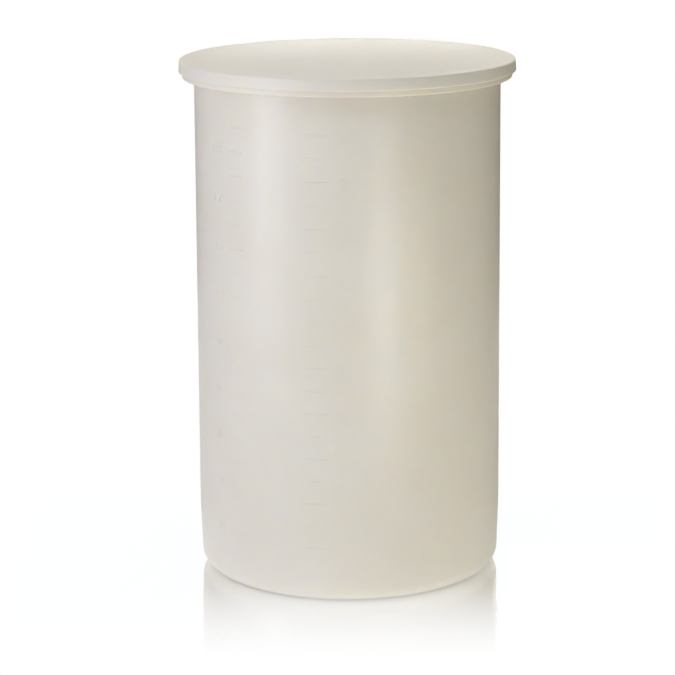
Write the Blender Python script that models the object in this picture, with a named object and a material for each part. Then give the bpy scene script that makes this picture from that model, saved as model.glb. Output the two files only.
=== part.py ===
"""Plastic fermenting bucket: an open-top cylindrical tank and the loose lid that drops over its lip.

Metres, +Z up. The origin is the centre of the tank's underside. Both pieces are turned about Z.
"""

import math

import bpy

# Driving dimensions of the tank
WALL_RADIUS = 0.2794  # outside, just below the lip
BASE_SPREAD = 0.0028  # how much wider the wall is above its foot
WALL_THICKNESS = 0.0060
TANK_HEIGHT = 0.9460
FOOT_TOP = 0.1200  # the wall draws in a little from this height down
FOOT_DRAFT = math.radians(1.7)
BASE_CORNER = 0.0300  # outside radius between the wall and the underside
LIP_REACH = 0.0213  # how far the lip stands out from the wall
LIP_DEPTH = 0.0268  # height of the lip's outer face

# Driving dimensions of the lid
LID_OVERHANG = 0.0057  # from the lip's outer face to the lid's
LID_THICKNESS = 0.0057
LID_SKIRT = 0.0045  # thickness of the downturned rim
LID_FLARE = 0.0010  # how much wider the rim is at its lower edge
RIM_HEIGHT = 0.0218
LID_CROWN = 0.0060  # rise of the plate from its edge to its centre

REST_GAP = 0.0003  # between the lid and the lip that it rests on
SEGMENTS = 72  # round both pieces

NATURAL_POLYETHYLENE = (0.67, 0.65, 0.57, 1.0)
LID_POLYETHYLENE = (0.71, 0.69, 0.62, 1.0)
MOULDED_ROUGHNESS = 0.42
CREASE_ANGLE = math.radians(35)

# Worked out from the above
BASE_RADIUS = WALL_RADIUS + BASE_SPREAD
FOOT_DRAW = (FOOT_TOP - BASE_CORNER * (1.0 - math.sin(FOOT_DRAFT))) * math.tan(FOOT_DRAFT)
CORNER_CENTRE = BASE_RADIUS - FOOT_DRAW - BASE_CORNER * math.cos(FOOT_DRAFT)
LIP_RADIUS = WALL_RADIUS + LIP_REACH
LIP_FOOT = TANK_HEIGHT - LIP_DEPTH
LIP_UNDERSIDE = TANK_HEIGHT - WALL_THICKNESS
LID_RADIUS = LIP_RADIUS + LID_OVERHANG
LID_SEAT = TANK_HEIGHT + REST_GAP
LID_EDGE = LID_SEAT + LID_THICKNESS


def clear_scene():
    """Remove whatever the startup file holds."""
    for obj in list(bpy.data.objects):
        bpy.data.objects.remove(obj, do_unlink=True)


def arc(centre, radius, start, end, steps):
    """Points of a circular arc in the profile plane, from start to end in degrees."""
    points = []
    for step in range(steps + 1):
        angle = math.radians(start + (end - start) * step / steps)
        r = centre[0] + radius * math.cos(angle)
        z = centre[1] + radius * math.sin(angle)
        points.append((r, z))
    return points


def crown(inner, outer, edge_z, rise, steps):
    """A shallow dome's points from its edge towards the axis, leaving out the edge itself."""
    points = []
    for step in range(1, steps + 1):
        r = outer + (inner - outer) * step / steps
        z = edge_z + rise * (1.0 - (r / outer) ** 2)
        points.append((r, z))
    return points


def turned(name, profile):
    """A closed piece turned about Z from a profile that ends on the axis at both ends."""
    mesh = bpy.data.meshes.new(name)
    points = [(r, 0.0, z) for r, z in profile]
    edges = [(i, i + 1) for i in range(len(points) - 1)]
    mesh.from_pydata(points, edges, [])
    piece = bpy.data.objects.new(name, mesh)
    bpy.context.scene.collection.objects.link(piece)
    screw = piece.modifiers.new("turn", "SCREW")
    screw.axis = "Z"
    screw.angle = math.tau
    screw.steps = SEGMENTS
    screw.render_steps = SEGMENTS
    screw.use_merge_vertices = True
    screw.merge_threshold = 0.00001
    screw.use_smooth_shade = True
    return piece


def apply_modifiers(piece):
    """Bake the piece's modifiers into its mesh and shade it smooth, with its corners kept crisp."""
    graph = bpy.context.evaluated_depsgraph_get()
    baked = bpy.data.meshes.new_from_object(piece.evaluated_get(graph))
    piece.modifiers.clear()
    piece.data = baked
    baked.name = piece.name
    baked.shade_smooth()
    baked.set_sharp_from_angle(angle=CREASE_ANGLE)


def moulded(name, colour):
    """Material of a moulded polyethylene piece."""
    material = bpy.data.materials.new(name)
    material.use_nodes = True
    shader = material.node_tree.nodes["Principled BSDF"]
    shader.inputs["Base Color"].default_value = colour
    shader.inputs["Roughness"].default_value = MOULDED_ROUGHNESS
    shader.inputs["Metallic"].default_value = 0.0
    return material


def tank_profile():
    """From the middle of the floor, up the inside, over the lip and down the outside."""
    corner = (CORNER_CENTRE, BASE_CORNER)
    inner_corner = BASE_CORNER - WALL_THICKNESS
    draft = math.degrees(FOOT_DRAFT)
    inner_top = WALL_RADIUS - WALL_THICKNESS
    mouth_round = 0.0080
    lip_round = 0.0050
    lip_edge = 0.0022
    root = 0.0040
    skirt_inside = LIP_RADIUS - WALL_THICKNESS

    profile = [(0.0, WALL_THICKNESS)]
    profile.append((CORNER_CENTRE / 2, WALL_THICKNESS))
    profile += arc(corner, inner_corner, 270, 360 - draft, 6)
    profile.append((BASE_RADIUS - WALL_THICKNESS, FOOT_TOP))
    profile += arc((inner_top + mouth_round, TANK_HEIGHT - mouth_round), mouth_round, 180, 90, 5)
    profile += arc((LIP_RADIUS - lip_round, TANK_HEIGHT - lip_round), lip_round, 90, 0, 4)
    profile += arc((LIP_RADIUS - lip_edge, LIP_FOOT + lip_edge), lip_edge, 0, -90, 3)
    profile += arc((skirt_inside + lip_edge, LIP_FOOT + lip_edge), lip_edge, 270, 180, 2)
    profile += arc((skirt_inside - root, LIP_UNDERSIDE - root), root, 0, 90, 3)
    profile += arc((WALL_RADIUS + root, LIP_UNDERSIDE - root), root, 90, 180, 3)
    profile.append((BASE_RADIUS, FOOT_TOP))
    profile += arc(corner, BASE_CORNER, -draft, -90, 7)
    profile.append((CORNER_CENTRE / 2, 0.0))
    profile.append((0.0, 0.0))
    return profile


def lid_profile():
    """From the middle of the underside, out to the rim, round its edge and back over the top."""
    rim_foot = LID_EDGE - RIM_HEIGHT
    rim_radius = LID_RADIUS + LID_FLARE
    skirt_top = LID_RADIUS - LID_SKIRT
    skirt_foot = rim_radius - LID_SKIRT
    top_round = 0.0030
    foot_round = 0.0016
    seat_round = 0.0020
    seat_inner = WALL_RADIUS - WALL_THICKNESS - 0.004  # the flat ring that rests on the lip starts here

    profile = [(0.0, LID_SEAT + LID_CROWN)]
    profile += reversed(crown(seat_inner * 0.25, seat_inner, LID_SEAT, LID_CROWN, 3))
    profile.append((seat_inner, LID_SEAT))
    profile += arc((skirt_top - seat_round, LID_SEAT - seat_round), seat_round, 90, 0, 2)
    profile += arc((skirt_foot + foot_round, rim_foot + foot_round), foot_round, 180, 270, 2)
    profile += arc((rim_radius - foot_round, rim_foot + foot_round), foot_round, 270, 360, 2)
    profile += arc((LID_RADIUS - top_round, LID_EDGE - top_round), top_round, 0, 90, 4)
    profile += crown(0.0, LID_RADIUS - top_round, LID_EDGE, LID_CROWN, 6)
    return profile


def build():
    """Make the tank and the lid."""
    clear_scene()

    tank = turned("tank", tank_profile())
    apply_modifiers(tank)
    tank.data.materials.append(moulded("tank_polyethylene", NATURAL_POLYETHYLENE))

    # The lid's profile runs up its outer side, so it is reversed to run down it.
    lid = turned("lid", list(reversed(lid_profile())))
    apply_modifiers(lid)
    lid.data.materials.append(moulded("lid_polyethylene", LID_POLYETHYLENE))


build()
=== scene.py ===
"""Looks of the plastic fermenting bucket: a tall natural-polyethylene tank and its loose lid.

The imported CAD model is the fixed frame. Both mouldings are turned again here with finer rounding, the
volume scales are raised on the tank's wall, and both pieces get the finish of natural polyethylene. A pale
floor, soft studio light and the camera complete the scene. Metres, +Z up, in the CAD's own frame.
"""

from __future__ import annotations

import logging
import math
from dataclasses import dataclass
from enum import Enum

import bmesh
import bpy
from mathutils import Matrix, Vector


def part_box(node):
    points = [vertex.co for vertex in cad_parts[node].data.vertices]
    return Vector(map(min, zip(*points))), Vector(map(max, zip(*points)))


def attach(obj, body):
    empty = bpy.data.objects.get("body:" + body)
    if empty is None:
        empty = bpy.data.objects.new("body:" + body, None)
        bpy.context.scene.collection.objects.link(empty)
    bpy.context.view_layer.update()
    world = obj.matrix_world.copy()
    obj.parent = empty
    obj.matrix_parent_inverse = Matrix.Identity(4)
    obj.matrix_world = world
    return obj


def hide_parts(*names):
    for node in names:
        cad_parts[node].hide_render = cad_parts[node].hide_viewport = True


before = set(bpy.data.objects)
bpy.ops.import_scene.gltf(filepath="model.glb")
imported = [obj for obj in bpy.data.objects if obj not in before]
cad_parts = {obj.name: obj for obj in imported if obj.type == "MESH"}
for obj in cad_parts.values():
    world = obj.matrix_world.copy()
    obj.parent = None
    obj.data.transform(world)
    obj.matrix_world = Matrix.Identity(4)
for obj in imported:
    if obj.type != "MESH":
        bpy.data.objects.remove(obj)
LOG = logging.getLogger("fermenting_bucket")
MM = 0.001
CUBIC_METRES_IN_LITRE = 0.001
ON_AXIS = 1e-9  # a profile point nearer the axis than this is on it
Point = tuple[float, float]  # distance from the axis, and height


# --------------------------------------------------------------------------- helpers


def linear(hex_colour: str, alpha: float = 1.0) -> tuple[float, float, float, float]:
    """Turn an sRGB hex colour such as "#F0EDE4" into linear values.

    Args:
        hex_colour: six hex digits after a hash.
        alpha: the fourth value to give back.

    Returns:
        Red, green, blue and alpha, each from 0 to 1.
    """
    channels = [int(hex_colour[i : i + 2], 16) / 255.0 for i in (1, 3, 5)]
    red, green, blue = [c / 12.92 if c <= 0.04045 else ((c + 0.055) / 1.055) ** 2.4 for c in channels]
    return (red, green, blue, alpha)


def add_node(
    tree: bpy.types.NodeTree, kind: str, settings: dict | None = None, **links: bpy.types.NodeSocket
) -> bpy.types.Node:
    """Add a node, set its properties and input values, and link its inputs.

    Args:
        tree: the node tree to add to.
        kind: the node's type name.
        settings: property names to values, and input names or numbers to values.
        links: the output sockets that feed the inputs. Each is given under its input's name, with
            underscores for spaces, or under input_ and its number.

    Returns:
        The new node.
    """
    node = tree.nodes.new(kind)
    for name, value in (settings or {}).items():
        if isinstance(name, str) and hasattr(node, name):
            setattr(node, name, value)
        else:
            node.inputs[name].default_value = value
    for name, socket in links.items():
        if name.startswith("input_"):
            tree.links.new(socket, node.inputs[int(name[6:])])
        else:
            tree.links.new(socket, node.inputs[name.replace("_", " ")])
    return node


def arc(centre: Point, radius: float, start: float, end: float, steps: int) -> list[Point]:
    """Points of a circular arc in the profile plane.

    Args:
        centre: radius and height of the arc's centre.
        radius: the arc's radius.
        start: first angle in degrees, 0 pointing away from the axis and 90 up.
        end: last angle in degrees.
        steps: number of chords.

    Returns:
        The points from start to end.
    """
    angles = [math.radians(start + (end - start) * i / steps) for i in range(steps + 1)]
    return [(centre[0] + radius * math.cos(a), centre[1] + radius * math.sin(a)) for a in angles]


def straight(first: Point, last: Point, steps: int) -> list[Point]:
    """Points along a straight run of a profile, leaving out both ends."""
    return [
        (first[0] + (last[0] - first[0]) * i / steps, first[1] + (last[1] - first[1]) * i / steps)
        for i in range(1, steps)
    ]


def turn(name: str, profile: list[Point], segments: int) -> bpy.types.Object:
    """Turn a closed profile about Z into a smooth mesh.

    Args:
        name: the object's name.
        profile: the section's points, from axis to axis, in either direction.
        segments: number of steps round the axis.

    Returns:
        The new object, linked to the scene.
    """
    mesh = bpy.data.meshes.new(name)
    shape = bmesh.new()
    rings = []
    for r, z in profile:
        if r < ON_AXIS:
            rings.append([shape.verts.new((0.0, 0.0, z))])
            continue
        turns = [math.tau * i / segments for i in range(segments)]
        rings.append([shape.verts.new((r * math.cos(a), r * math.sin(a), z)) for a in turns])
    for lower, upper in zip(rings, rings[1:]):
        for i in range(segments):
            j = (i + 1) % segments
            below = [lower[k % len(lower)] for k in (i, j)]
            above = [upper[k % len(upper)] for k in (j, i)]
            unique = list(dict.fromkeys(below + above))
            if len(unique) > 2:
                shape.faces.new(unique)
    bmesh.ops.recalc_face_normals(shape, faces=shape.faces)
    shape.to_mesh(mesh)
    shape.free()
    mesh.shade_smooth()
    piece = bpy.data.objects.new(name, mesh)
    bpy.context.scene.collection.objects.link(piece)
    return piece


# --------------------------------------------------------------------------- finishes


@dataclass(frozen=True)
class NaturalPolyethylene:
    """Linear polyethylene, rotationally moulded with no pigment.

    To the eye it is milky: light goes some millimetres into it and comes back soft and slightly warm,
    under a satin skin that carries the faint orange peel of the mould.
    """

    name: str
    colour: str = "#F2EFE8"
    deep_colour: str = "#EDE8DC"  # where the moulding is thicker the plastic looks warmer
    cloud_mm: float = 120.0  # size of the patches of either colour
    roughness: float = 0.36
    roughness_change: float = 0.04  # how far it varies to either side
    skin_mm: float = 18.0  # size of the duller and glossier patches
    ior: float = 1.51
    scatter_mm: tuple[float, float, float] = (7.0, 6.0, 4.5)
    peel_mm: float = 3.0
    peel_height_mm: float = 0.02
    sway_mm: float = 70.0  # slow waves where the moulding shrank as it cooled
    sway_height_mm: float = 0.30

    def material(self) -> bpy.types.Material:
        """Build the node material.

        Returns:
            The material, named for this finish.
        """
        made = bpy.data.materials.new(self.name)
        made.use_nodes = True
        tree = made.node_tree
        shader = tree.nodes["Principled BSDF"]
        shader.inputs["IOR"].default_value = self.ior
        shader.inputs["Subsurface Weight"].default_value = 1.0
        shader.inputs["Subsurface Radius"].default_value = tuple(self.scatter_mm)
        shader.inputs["Subsurface Scale"].default_value = MM
        shader.inputs["Subsurface Anisotropy"].default_value = 0.0
        shader.subsurface_method = "RANDOM_WALK"

        place = add_node(tree, "ShaderNodeTexCoord")
        cloud, skin, sway, peel = (
            add_node(
                tree,
                "ShaderNodeTexNoise",
                {"Scale": 1.0 / (size_mm * MM), "Detail": detail, "Roughness": grit},
                Vector=place.outputs["Object"],
            ).outputs["Fac"]
            for size_mm, detail, grit in (
                (self.cloud_mm, 3.0, 0.5),
                (self.skin_mm, 4.0, 0.6),
                (self.sway_mm, 1.0, 0.4),
                (self.peel_mm, 2.0, 0.5),
            )
        )
        tint = add_node(
            tree,
            "ShaderNodeMix",
            {"data_type": "RGBA", 6: linear(self.colour), 7: linear(self.deep_colour)},
            Factor=cloud,
        )
        tree.links.new(tint.outputs[2], shader.inputs["Base Color"])

        satin = add_node(
            tree,
            "ShaderNodeMapRange",
            {
                "From Min": 0.3,
                "From Max": 0.7,
                "To Min": self.roughness - self.roughness_change,
                "To Max": self.roughness + self.roughness_change,
            },
            Value=skin,
        )
        tree.links.new(satin.outputs["Result"], shader.inputs["Roughness"])

        waves = add_node(
            tree,
            "ShaderNodeBump",
            {"Strength": 1.0, "Distance": self.sway_height_mm * MM},
            Height=sway,
        )
        bump = add_node(
            tree,
            "ShaderNodeBump",
            {"Strength": 1.0, "Distance": self.peel_height_mm * MM},
            Height=peel,
            Normal=waves.outputs["Normal"],
        )
        tree.links.new(bump.outputs["Normal"], shader.inputs["Normal"])
        return made


# --------------------------------------------------------------------------- mouldings


@dataclass
class Tank:
    """The vessel: floor, straight wall, rounded foot, and a lip turned out and down."""

    lip_radius: float = 0.0
    height: float = 0.0
    wall_radius: float = 0.2794  # outside, just under the lip
    foot_spread: float = 0.0028  # how much wider the wall is at the top of the foot
    thickness: float = 0.0060
    foot_top: float = 0.1200
    foot_draft: float = 1.7  # degrees that the foot draws in by
    foot_round: float = 0.0300
    lip_depth: float = 0.0268
    segments: int = 256

    def __post_init__(self) -> None:
        """Take the overall sizes from the CAD node."""
        _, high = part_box("tank")
        self.lip_radius = high.x
        self.height = high.z

    def profile(self) -> list[Point]:
        """The section from the middle of the floor, up the inside, over the lip and down the outside.

        Returns:
            Its points, from axis to axis.
        """
        foot_radius = self.wall_radius + self.foot_spread
        draft = math.radians(self.foot_draft)
        drawn_in = (self.foot_top - self.foot_round * (1.0 - math.sin(draft))) * math.tan(draft)
        corner = (foot_radius - drawn_in - self.foot_round * math.cos(draft), self.foot_round)
        outer_round = arc(corner, self.foot_round, -self.foot_draft, -90, 16)
        inner_round = arc(corner, self.foot_round - self.thickness, 270, 360 - self.foot_draft, 12)
        outer_foot = (foot_radius, self.foot_top)
        inner_foot = (foot_radius - self.thickness, self.foot_top)
        inner_top = self.wall_radius - self.thickness
        mouth = 0.0080
        lip_top = 0.0050
        lip_edge = 0.0029
        root = 0.0040
        lip_foot = self.height - self.lip_depth
        skirt_inside = self.lip_radius - self.thickness
        underside = self.height - self.thickness

        points: list[Point] = [(0.0, self.thickness)]
        points += straight(points[0], inner_round[0], 8)
        points += inner_round
        points += straight(inner_round[-1], inner_foot, 6)
        points += [inner_foot]
        points += straight(inner_foot, (inner_top, self.height - mouth), 36)
        points += arc((inner_top + mouth, self.height - mouth), mouth, 180, 90, 8)
        points += arc((self.lip_radius - lip_top, self.height - lip_top), lip_top, 90, 0, 8)
        points += arc((self.lip_radius - lip_edge, lip_foot + lip_edge), lip_edge, 0, -90, 6)
        points += arc((skirt_inside + lip_edge, lip_foot + lip_edge), lip_edge, 270, 180, 6)
        points += arc((skirt_inside - root, underside - root), root, 0, 90, 6)
        points += arc((self.wall_radius + root, underside - root), root, 90, 180, 6)
        points += straight((self.wall_radius, underside - root), outer_foot, 36)
        points += [outer_foot]
        points += straight(outer_foot, outer_round[0], 6)
        points += outer_round
        points += straight(outer_round[-1], (0.0, 0.0), 6)
        points.append((0.0, 0.0))
        return points

    def wall_at(self, z: float) -> float:
        """Outer radius of the wall, or of the foot, above its round corner.

        Args:
            z: height above the underside.

        Returns:
            The radius there.
        """
        foot_radius = self.wall_radius + self.foot_spread
        if z < self.foot_top:
            return foot_radius - (self.foot_top - z) * math.tan(math.radians(self.foot_draft))
        rise = (z - self.foot_top) / (self.height - self.thickness - self.foot_top)
        return foot_radius - self.foot_spread * rise

    def build(self, finish: bpy.types.Material) -> bpy.types.Object:
        """Turn the tank and put it on its body.

        Args:
            finish: the material of the moulding.

        Returns:
            The tank, which stands for the CAD node.
        """
        piece = turn("tank_moulding", self.profile(), self.segments)
        piece.data.materials.append(finish)
        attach(piece, "tank")
        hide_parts("tank")
        return piece


@dataclass
class Lid:
    """The loose cover: a slightly domed plate with a plain downturned rim."""

    foot: float = 0.0
    top: float = 0.0
    rim_radius: float = 0.0
    flare: float = 0.0010  # how much wider the rim is at its foot
    thickness: float = 0.0057
    skirt: float = 0.0045  # thickness of the rim
    crown: float = 0.0060  # how much higher the middle stands
    border: float = 0.0250  # width of the flat ring round the dome
    seat_inner: float = 0.2694  # where the underside stops following the dome
    segments: int = 256

    def __post_init__(self) -> None:
        """Take the overall sizes from the CAD node."""
        low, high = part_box("lid")
        self.foot = low.z
        self.top = high.z
        self.rim_radius = high.x

    def dome(self, outer: float, edge_z: float, steps: int, border: float = 0.0) -> list[Point]:
        """Points of the lid's shallow dome, from just inside its edge to the axis.

        Args:
            outer: radius of the dome's edge.
            edge_z: height of the edge.
            steps: number of points.
            border: width of the flat ring between the edge and the foot of the dome.

        Returns:
            The points, from the outside in.
        """
        foot = outer - border
        radii = [outer * (1 - i / steps) for i in range(1, steps + 1)]
        return [(r, edge_z + self.crown * max(0.0, 1 - (r / foot) ** 2)) for r in radii]

    def profile(self) -> list[Point]:
        """The section from the middle of the underside, out to the rim, round it and back over the top.

        Returns:
            Its points, from axis to axis.
        """
        top_radius = self.rim_radius - self.flare
        edge = self.top - self.crown
        seat = edge - self.thickness
        top_round = 0.0030
        foot_round = 0.0021
        seat_round = 0.0020
        skirt_top = top_radius - self.skirt
        skirt_foot = self.rim_radius - self.skirt

        points: list[Point] = list(reversed(self.dome(self.seat_inner, seat, 16)))
        points.append((self.seat_inner, seat))
        points += arc((skirt_top - seat_round, seat - seat_round), seat_round, 90, 0, 5)
        points += arc((skirt_foot + foot_round, self.foot + foot_round), foot_round, 180, 270, 5)
        points += arc((self.rim_radius - foot_round, self.foot + foot_round), foot_round, 270, 360, 5)
        points += arc((top_radius - top_round, edge - top_round), top_round, 0, 90, 8)
        points += self.dome(top_radius - top_round, edge, 48, self.border)
        return points

    def build(self, finish: bpy.types.Material) -> bpy.types.Object:
        """Turn the lid and put it on its body.

        Args:
            finish: the material of the moulding.

        Returns:
            The lid, which stands for the CAD node.
        """
        piece = turn("lid_moulding", self.profile(), self.segments)
        piece.data.materials.append(finish)
        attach(piece, "lid")
        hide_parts("lid")
        return piece


# --------------------------------------------------------------------------- volume scales


class Unit(Enum):
    """What a volume scale counts in, as litres to one unit."""

    US_GALLON = 3.785
    LITRE = 1.0


@dataclass
class VolumeScale:
    """One column of raised marks and numerals on the tank's wall."""

    unit: Unit
    tank: Tank
    first: float  # volumes in the scale's own unit
    last: float
    step: float
    numeral_every: float
    long_mark: tuple[float, float]  # start and end, in degrees round from the front, positive to the right
    short_mark: tuple[float, float]
    numeral_start: float
    numeral_height: float = 0.0150
    digit_share: float = 0.72  # how much of the lettering's nominal size a digit's height is
    bore: float = 0.2695  # the radius of the liquid inside
    empty_height: float = 0.02175  # where the scale's zero stands, above the underside
    rib: float = 0.0024  # width of a mark, up the wall
    rib_step: float = 0.7  # degrees from one section of a mark to the next
    relief: float = 0.0006
    root: float = 0.0008  # how deep a mark is let into the wall, so that the two join
    weld: float = 0.00001  # points of a numeral nearer than this are one
    slack: float = 1e-6  # rounding error allowed when volumes are compared

    def height_of(self, volume: float) -> float:
        """Height above the underside of the surface of a volume given in this scale's unit."""
        litres = volume * self.unit.value
        return self.empty_height + litres * CUBIC_METRES_IN_LITRE / (math.pi * self.bore**2)

    def on_wall(self, angle: float, z: float, out: float) -> Vector:
        """A point near the wall.

        Args:
            angle: degrees round from the front, positive to the right.
            z: height above the underside.
            out: distance out from the wall's surface.

        Returns:
            The point in the CAD's frame.
        """
        radius = self.tank.wall_at(z) + out
        turn_angle = math.radians(angle)
        return Vector((radius * math.sin(turn_angle), -radius * math.cos(turn_angle), z))

    def rib_mesh(self, shape: bmesh.types.BMesh, angles: tuple[float, float], z: float) -> None:
        """Add one raised mark with a rounded face.

        Args:
            shape: the mesh to add to.
            angles: where the mark starts and ends, in degrees.
            z: height of its middle.
        """
        steps = max(2, round((angles[1] - angles[0]) / self.rib_step))
        face = [(-0.5, 0.0), (-0.32, 0.8), (0.0, 1.0), (0.32, 0.8), (0.5, 0.0)]  # shares of rib and relief
        section = [(across * self.rib, up * self.relief) for across, up in face]
        section = [(-0.5 * self.rib, -self.root), *section, (0.5 * self.rib, -self.root)]
        rings = []
        for i in range(steps + 1):
            angle = angles[0] + (angles[1] - angles[0]) * i / steps
            rings.append([shape.verts.new(self.on_wall(angle, z + up, out)) for up, out in section])
        for left, right in zip(rings, rings[1:]):
            for i in range(len(section)):
                j = (i + 1) % len(section)
                shape.faces.new((left[i], right[i], right[j], left[j]))
        shape.faces.new(rings[0])
        shape.faces.new(list(reversed(rings[-1])))

    def numeral_mesh(self, shape: bmesh.types.BMesh, words: str, z: float) -> None:
        """Add raised numerals, bent to the wall.

        Args:
            shape: the mesh to add to.
            words: the digits.
            z: height of their middle.
        """
        curve = bpy.data.curves.new("numerals", "FONT")
        curve.body = words
        curve.size = self.numeral_height / self.digit_share
        curve.extrude = (self.relief + self.root) / 2
        curve.resolution_u = 4
        flat = bpy.data.objects.new("numerals", curve)
        bpy.context.scene.collection.objects.link(flat)
        graph = bpy.context.evaluated_depsgraph_get()
        mesh = bpy.data.meshes.new_from_object(flat.evaluated_get(graph))
        loose = bmesh.new()
        loose.from_mesh(mesh)
        bmesh.ops.remove_doubles(loose, verts=loose.verts, dist=self.weld)
        around = math.degrees(1.0 / self.tank.wall_at(z))
        for vert in loose.verts:
            x, y, depth = vert.co
            out = self.relief if depth > 0 else -self.root
            vert.co = self.on_wall(self.numeral_start + x * around, z + y - self.numeral_height / 2, out)
        bent = bpy.data.meshes.new("bent_numerals")
        loose.to_mesh(bent)
        loose.free()
        shape.from_mesh(bent)
        bpy.data.objects.remove(flat)
        for used in (mesh, bent):
            bpy.data.meshes.remove(used)
        bpy.data.curves.remove(curve)

    def add_to(self, shape: bmesh.types.BMesh) -> int:
        """Add every mark and numeral of the scale.

        Args:
            shape: the mesh to add to.

        Returns:
            How many marks were added.
        """
        count = 0
        volume = self.first
        while volume <= self.last + self.slack:
            numbers = volume / self.numeral_every
            numbered = abs(numbers - round(numbers)) < self.slack
            z = self.height_of(volume)
            self.rib_mesh(shape, self.long_mark if numbered else self.short_mark, z)
            if numbered:
                self.numeral_mesh(shape, f"{volume:g}", z)
            volume += self.step
            count += 1
        return count


def smooth_wall(mesh: bpy.types.Mesh, maker: Tank, tolerance: float = 0.0001) -> None:
    """Give the wall's faces the normals of a true cylinder right up to the raised marks.

    Args:
        mesh: the tank with its marks joined on.
        maker: what turned the tank.
        tolerance: how far a face's middle may be from the wall and still be part of it.
    """
    below_lip = maker.height - 2 * maker.lip_depth
    normals = [Vector((0.0, 0.0, 0.0))] * len(mesh.loops)
    for face in mesh.polygons:
        middle = face.center
        out = math.hypot(middle.x, middle.y) - maker.wall_at(middle.z)
        if not face.use_smooth or abs(out) > tolerance or not maker.foot_top < middle.z < below_lip:
            continue
        for corner in face.loop_indices:
            place = mesh.vertices[mesh.loops[corner].vertex_index].co
            normals[corner] = Vector((place.x, place.y, 0.0)).normalized()
    mesh.normals_split_custom_set(normals)


def join_relief(
    tank: bpy.types.Object, maker: Tank, scales: list[VolumeScale], sharp_angle: float = 25.0
) -> int:
    """Join the scales' raised marks to the tank's wall, so that the moulding is one closed body.

    Args:
        tank: the turned tank.
        maker: what turned it.
        scales: the scales to raise on it.
        sharp_angle: degrees between two faces from which their edge shows as sharp.

    Returns:
        How many marks were raised.
    """
    shape = bmesh.new()
    marks = sum(scale.add_to(shape) for scale in scales)
    bmesh.ops.recalc_face_normals(shape, faces=shape.faces)
    mesh = bpy.data.meshes.new("relief")
    shape.to_mesh(mesh)
    shape.free()
    relief = bpy.data.objects.new("relief", mesh)
    bpy.context.scene.collection.objects.link(relief)
    union = tank.modifiers.new("raise", "BOOLEAN")
    union.operation = "UNION"
    union.object = relief
    union.solver = "EXACT"
    graph = bpy.context.evaluated_depsgraph_get()
    joined = bpy.data.meshes.new_from_object(tank.evaluated_get(graph))
    tank.modifiers.clear()
    old = tank.data
    tank.data = joined
    bpy.data.objects.remove(relief)
    for used in (mesh, old):
        bpy.data.meshes.remove(used)
    joined.name = tank.name
    joined.set_sharp_from_angle(angle=math.radians(sharp_angle))
    smooth_wall(joined, maker)
    return marks


# --------------------------------------------------------------------------- stage


@dataclass(frozen=True)
class SoftLight:
    """A soft box, placed round the tank and turned towards its axis."""

    name: str
    azimuth: float  # degrees round from the front, positive to the right
    height: float
    distance: float  # from the tank's axis, level with the floor
    width: float
    tall: float
    watts: float
    colour: str = "#FFFFFF"
    aim_height: float = 0.5  # height of the point on the tank's axis that it faces

    def build(self) -> bpy.types.Object:
        """Add the light, which the camera doesn't see.

        Returns:
            The light's object.
        """
        box = bpy.data.lights.new(self.name, "AREA")
        box.shape = "RECTANGLE"
        box.size = self.width
        box.size_y = self.tall
        box.energy = self.watts
        box.color = linear(self.colour)[:3]
        light = bpy.data.objects.new(self.name, box)
        bpy.context.scene.collection.objects.link(light)
        angle = math.radians(self.azimuth)
        light.location = (self.distance * math.sin(angle), -self.distance * math.cos(angle), self.height)
        aim = Vector((0.0, 0.0, self.aim_height))
        light.rotation_euler = (aim - light.location).to_track_quat("-Z", "Y").to_euler()
        light.visible_camera = False
        return light


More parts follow.
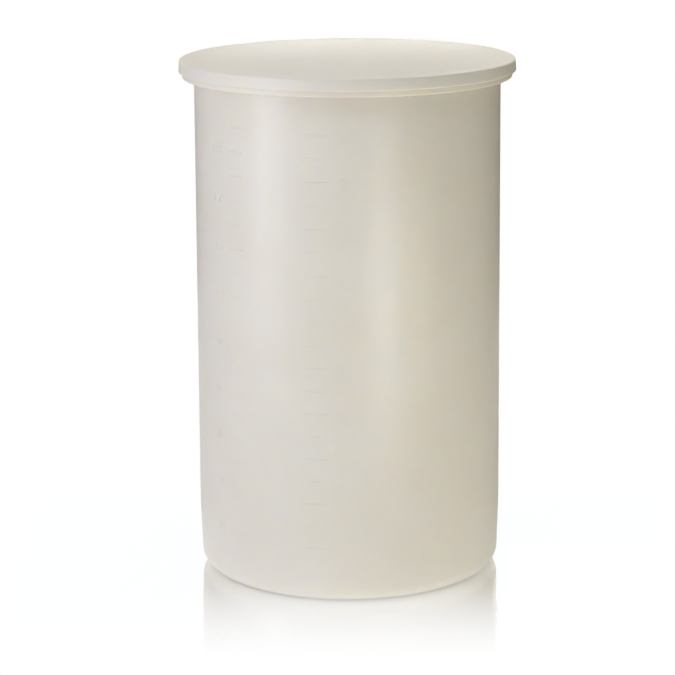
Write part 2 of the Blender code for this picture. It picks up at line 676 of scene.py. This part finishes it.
@dataclass(frozen=True)
class Studio:
    """Floor, light and camera."""

    focal_mm: float = 130.9
    sensor_mm: float = 36.0
    camera_distance: float = 4.4676
    camera_height: float = 1.4984
    pitch: float = 0.2353  # radians, as are the next two
    roll: float = -0.0065
    pan: float = 0.00468
    sight: float = 200.0  # how far the camera sees
    floor_half: float = 60.0
    floor_drop: float = 0.0005  # how far the floor lies below the tank's underside
    floor_shade: float = 0.8
    gloss: float = 0.93  # how strongly the floor mirrors the tank where they meet
    gloss_colour: str = "#FDFEFF"
    gloss_from: float = 0.15  # distance from the axis at which the mirror image starts to fade
    gloss_to: float = 0.56
    gloss_power: float = 1.6
    gloss_side: float = 0.6  # the polish reaches further to the sides than to the front, by one over this
    glow: float = 0.27  # light that the bright floor throws up at the tank's foot
    glow_colour: str = "#FDFCFF"
    glow_rise: tuple[float, float] = (0.246, 0.266)  # distances from the axis over which it grows
    glow_fall: tuple[float, float] = (0.30, 0.50)  # and over which it fades
    backdrop: float = 1.123  # what the lit backdrop gives to soft reflections
    backdrop_colour: str = "#FFF6E9"
    backdrop_rise: float = 12.0  # degrees above level of its brightest part
    backdrop_spread: tuple[float, float] = (50.0, 15.0)  # degrees from there to where it ends and is full
    fill: float = 0.101  # what reaches the plastic from all round
    fill_colour: str = "#FFF2D9"
    boxes: tuple[SoftLight, ...] = (
        SoftLight("key_left", -55, 1.15, 2.4, 0.7, 0.7, 14.3, "#FAF9FF", aim_height=0.75),
        SoftLight("left", -60, 0.55, 2.4, 0.8, 1.1, 8.6, "#F4F3FF"),
        SoftLight("high_left", -60, 2.1, 2.2, 0.9, 1.1, 7.6, "#FCF7FF"),
        SoftLight("above_left", -20, 2.6, 1.2, 0.8, 0.8, 5.1, "#DDE7FF"),
        SoftLight("above_right", 20, 2.6, 1.2, 0.8, 0.8, 4.5, "#E7F2FF"),
        SoftLight("low_front", 25, 0.22, 2.0, 0.7, 0.4, 8.1, "#FFFEFB", aim_height=0.35),
        SoftLight("low_right", 50, 0.22, 2.0, 0.7, 0.4, 4.2, "#FFEFC4", aim_height=0.35),
        SoftLight("behind_right", 160, 1.3, 2.6, 0.9, 0.9, 5.3, "#FFFCE4", aim_height=0.95),
        SoftLight("above_behind", 180, 2.6, 1.2, 0.8, 0.8, 14.7, "#FFF8E9"),
        SoftLight("behind", 180, 0.55, 2.4, 0.8, 1.1, 42.0, "#FFFFFC"),
    )

    def camera(self) -> bpy.types.Object:
        """Place the camera in front of the tank, looking slightly down.

        Returns:
            The camera, which the scene then uses.
        """
        lens = bpy.data.cameras.new("camera")
        lens.lens = self.focal_mm
        lens.sensor_width = self.sensor_mm
        lens.clip_end = self.sight
        camera = bpy.data.objects.new("camera", lens)
        bpy.context.scene.collection.objects.link(camera)
        turn_down = Matrix.Rotation(math.pi / 2 - self.pitch, 4, "X")
        turn_left = Matrix.Rotation(self.pan, 4, "Z")
        tilt = Matrix.Rotation(self.roll, 4, "Z")
        place = Matrix.Translation((0.0, -self.camera_distance, self.camera_height))
        camera.matrix_world = place @ turn_left @ turn_down @ tilt
        bpy.context.scene.camera = camera
        return camera

    def lights(self) -> list[bpy.types.Object]:
        """Add the soft boxes."""
        return [box.build() for box in self.boxes]

    def floor(self) -> bpy.types.Object:
        """Add a wide pale floor.

        Returns:
            The floor, which isn't part of the object.
        """
        mesh = bpy.data.meshes.new("floor")
        half = self.floor_half
        corners = [(-half, -half, 0), (half, -half, 0), (half, half, 0), (-half, half, 0)]
        mesh.from_pydata(corners, [], [(0, 1, 2, 3)])
        mesh.materials.append(self.floor_finish())
        floor = bpy.data.objects.new("floor", mesh)
        bpy.context.scene.collection.objects.link(floor)
        floor.location.z = -self.floor_drop
        return floor

    def floor_finish(self) -> bpy.types.Material:
        """White paint, polished round the tank, which stands on a mirror image that soon fades.

        The camera sees bright white and the image. The tank gets the light of a matte floor instead, with a
        bright ring round its foot.

        Returns:
            The floor's material.
        """
        made = bpy.data.materials.new("pale_floor")
        made.use_nodes = True
        tree = made.node_tree
        tree.nodes.clear()
        place = add_node(tree, "ShaderNodeTexCoord")
        apart = add_node(tree, "ShaderNodeSeparateXYZ", {}, Vector=place.outputs["Object"])
        sideways = add_node(
            tree,
            "ShaderNodeMath",
            {"operation": "MULTIPLY", 1: self.gloss_side},
            input_0=apart.outputs["X"],
        )
        across = add_node(tree, "ShaderNodeMath", {"operation": "ABSOLUTE"}, input_0=sideways.outputs[0])
        along = add_node(tree, "ShaderNodeMath", {"operation": "ABSOLUTE"}, input_0=apart.outputs["Y"])
        reach = add_node(
            tree,
            "ShaderNodeMath",
            {"operation": "MAXIMUM"},
            input_0=across.outputs[0],
            input_1=along.outputs[0],
        )
        fade = add_node(
            tree,
            "ShaderNodeMapRange",
            {"From Min": self.gloss_from, "From Max": self.gloss_to, "To Min": 1.0, "To Max": 0.0},
            Value=reach.outputs[0],
        )
        eased = add_node(
            tree,
            "ShaderNodeMath",
            {"operation": "POWER", 1: self.gloss_power},
            input_0=fade.outputs["Result"],
        )
        share = add_node(
            tree,
            "ShaderNodeMath",
            {"operation": "MULTIPLY", 1: self.gloss},
            input_0=eased.outputs[0],
        )
        white = add_node(tree, "ShaderNodeEmission", {"Color": (1, 1, 1, 1), "Strength": 1.0})
        mirror = add_node(
            tree, "ShaderNodeBsdfGlossy", {"Color": linear(self.gloss_colour), "Roughness": 0.0}
        )
        seen = add_node(
            tree,
            "ShaderNodeMixShader",
            {},
            Fac=share.outputs[0],
            input_1=white.outputs[0],
            input_2=mirror.outputs[0],
        )
        away = add_node(
            tree, "ShaderNodeVectorMath", {"operation": "LENGTH"}, input_0=place.outputs["Object"]
        )
        grow = add_node(
            tree,
            "ShaderNodeMapRange",
            {"From Min": self.glow_rise[0], "From Max": self.glow_rise[1]},
            Value=away.outputs["Value"],
        )
        shrink = add_node(
            tree,
            "ShaderNodeMapRange",
            {
                "From Min": self.glow_fall[0],
                "From Max": self.glow_fall[1],
                "To Min": self.glow,
                "To Max": 0.0,
            },
            Value=away.outputs["Value"],
        )
        spread = add_node(
            tree,
            "ShaderNodeMath",
            {"operation": "MULTIPLY"},
            input_0=grow.outputs["Result"],
            input_1=shrink.outputs["Result"],
        )
        shade = self.floor_shade
        matte = add_node(tree, "ShaderNodeBsdfDiffuse", {"Color": (shade, shade, shade, 1)})
        bright = add_node(
            tree, "ShaderNodeEmission", {"Color": linear(self.glow_colour)}, Strength=spread.outputs[0]
        )
        lit = add_node(tree, "ShaderNodeAddShader", {}, input_0=matte.outputs[0], input_1=bright.outputs[0])
        path = add_node(tree, "ShaderNodeLightPath")
        shown = add_node(
            tree,
            "ShaderNodeMixShader",
            {},
            Fac=path.outputs["Is Camera Ray"],
            input_1=lit.outputs[0],
            input_2=seen.outputs[0],
        )
        add_node(tree, "ShaderNodeOutputMaterial", {}, Surface=shown.outputs[0])
        return made

    def world(self) -> None:
        """A white backdrop, the soft sheen that it lays on the plastic, and a dim warm fill all round."""
        world = bpy.data.worlds.new("studio")
        world.use_nodes = True
        tree = world.node_tree
        tree.nodes.clear()
        place = add_node(tree, "ShaderNodeTexCoord")
        rise = math.radians(self.backdrop_rise)
        towards = add_node(
            tree,
            "ShaderNodeVectorMath",
            {"operation": "DOT_PRODUCT", 1: (0.0, math.cos(rise), math.sin(rise))},
            input_0=place.outputs["Generated"],
        )
        edge, full = (math.cos(math.radians(angle)) for angle in self.backdrop_spread)
        backdrop = add_node(
            tree,
            "ShaderNodeMapRange",
            {
                "interpolation_type": "SMOOTHSTEP",
                "From Min": edge,
                "From Max": full,
                "To Min": 0.0,
                "To Max": self.backdrop,
            },
            Value=towards.outputs["Value"],
        )
        path = add_node(tree, "ShaderNodeLightPath")
        sharp = add_node(
            tree,
            "ShaderNodeMath",
            {"operation": "MAXIMUM"},
            input_0=path.outputs["Is Camera Ray"],
            input_1=path.outputs["Is Singular Ray"],
        )
        white = add_node(tree, "ShaderNodeBackground", {"Color": (1, 1, 1, 1), "Strength": 1.0})
        mirrored = add_node(
            tree,
            "ShaderNodeBackground",
            {"Color": linear(self.backdrop_colour)},
            Strength=backdrop.outputs["Result"],
        )
        fill = add_node(
            tree, "ShaderNodeBackground", {"Color": linear(self.fill_colour), "Strength": self.fill}
        )
        unseen = add_node(
            tree,
            "ShaderNodeMixShader",
            {},
            Fac=path.outputs["Is Glossy Ray"],
            input_1=fill.outputs[0],
            input_2=mirrored.outputs[0],
        )
        shown = add_node(
            tree,
            "ShaderNodeMixShader",
            {},
            Fac=sharp.outputs[0],
            input_1=unseen.outputs[0],
            input_2=white.outputs[0],
        )
        add_node(tree, "ShaderNodeOutputWorld", {}, Surface=shown.outputs[0])
        bpy.context.scene.world = world
        bpy.context.scene.view_settings.view_transform = "Standard"


def main() -> None:
    """Build the scene in order."""
    logging.basicConfig(level=logging.INFO, format="%(name)s: %(message)s")
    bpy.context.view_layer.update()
    LOG.info("frame: %d CAD nodes", len(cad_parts))
    studio = Studio()
    studio.camera()
    studio.floor()
    studio.lights()
    studio.world()
    maker = Tank()
    tank = maker.build(NaturalPolyethylene("tank_polyethylene").material())
    scales = [
        VolumeScale(
            unit=Unit.US_GALLON,
            tank=maker,
            first=5,
            last=50,
            step=2.5,
            numeral_every=5,
            long_mark=(-16.2, -7.4),
            short_mark=(-16.2, -10.3),
            numeral_start=-4.6,
            relief=0.0009,
        ),
        VolumeScale(
            unit=Unit.LITRE,
            tank=maker,
            first=20,
            last=190,
            step=10,
            numeral_every=20,
            long_mark=(-48.6, -41.6),
            short_mark=(-48.6, -41.6),
            numeral_start=-58.6,
        ),
    ]
    raised = join_relief(tank, maker, scales)
    LOG.info("%s: %d faces, %d volume marks", tank.name, len(tank.data.polygons), raised)
    lid = Lid().build(NaturalPolyethylene("lid_polyethylene", roughness=0.48).material())
    LOG.info("%s: %d faces", lid.name, len(lid.data.polygons))


if __name__ == "__main__":
    main()
